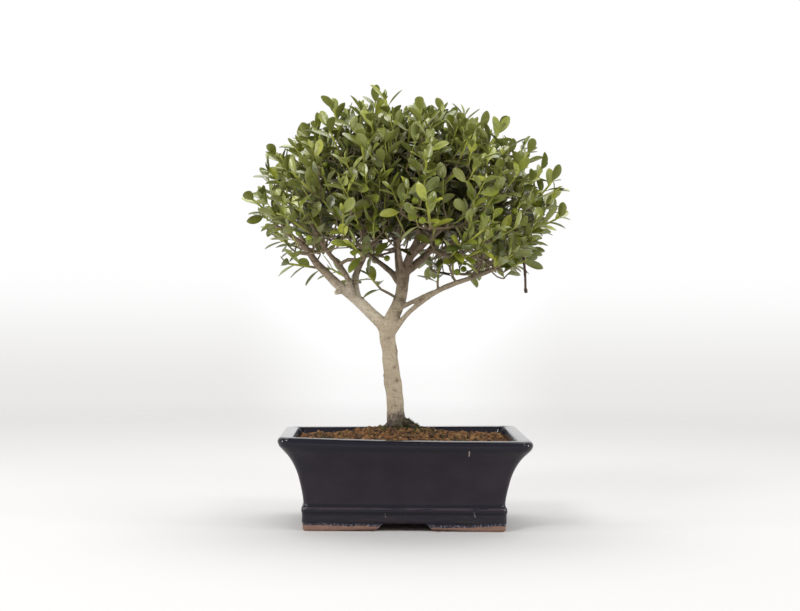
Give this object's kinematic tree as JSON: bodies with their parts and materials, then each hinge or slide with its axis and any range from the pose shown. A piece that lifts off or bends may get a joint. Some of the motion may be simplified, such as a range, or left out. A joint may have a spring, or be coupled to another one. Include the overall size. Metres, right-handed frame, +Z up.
{
  "type": "japanese holly bonsai in a rectangular pot",
  "caption": "Small-leaved evergreen bonsai with a slim trunk and a round crown of glossy leaves and green berries, in a flared rectangular glazed pot.",
  "frame": {"origin": "on the surface the pot stands on, under the middle of the plant's whole extent", "axes": "+Z up along the tree, +X along the pot's long side to the right as seen from the front, -Y towards the front"},
  "size_m": [0.2706, 0.232, 0.3602],
  "materials": {
    "glazed_pot": "gloss",
    "screen_plastic": "matte",
    "granular_soil": "matte",
    "bark": "matte",
    "leaf": "satin"
  },
  "bodies": {
    "root": {"pot": "glazed_pot", "foot_front_left": "glazed_pot", "foot_front_right": "glazed_pot", "foot_rear_left": "glazed_pot", "foot_rear_right": "glazed_pot", "drain_screen_left": "screen_plastic", "drain_screen_right": "screen_plastic", "soil": "granular_soil", "wood": "bark", "spray_01": "leaf", "spray_02": "leaf", "spray_03": "leaf", "spray_04": "leaf", "spray_05": "leaf", "spray_06": "leaf", "spray_07": "leaf", "spray_08": "leaf", "spray_09": "leaf", "spray_10": "leaf", "spray_11": "leaf", "spray_12": "leaf", "spray_13": "leaf", "spray_14": "leaf", "spray_15": "leaf", "spray_16": "leaf", "spray_17": "leaf", "spray_18": "leaf", "spray_19": "leaf", "spray_20": "leaf", "spray_21": "leaf", "spray_22": "leaf", "spray_23": "leaf", "spray_24": "leaf", "spray_25": "leaf", "spray_26": "leaf", "spray_27": "leaf", "spray_28": "leaf", "spray_29": "leaf", "spray_30": "leaf", "spray_31": "leaf", "spray_32": "leaf", "spray_33": "leaf", "spray_34": "leaf", "spray_35": "leaf", "spray_36": "leaf", "spray_37": "leaf", "spray_38": "leaf", "spray_39": "leaf", "spray_40": "leaf", "spray_41": "leaf", "spray_42": "leaf", "spray_43": "leaf", "spray_44": "leaf", "spray_45": "leaf", "spray_46": "leaf", "spray_47": "leaf"}
  },
  "joints": []
}
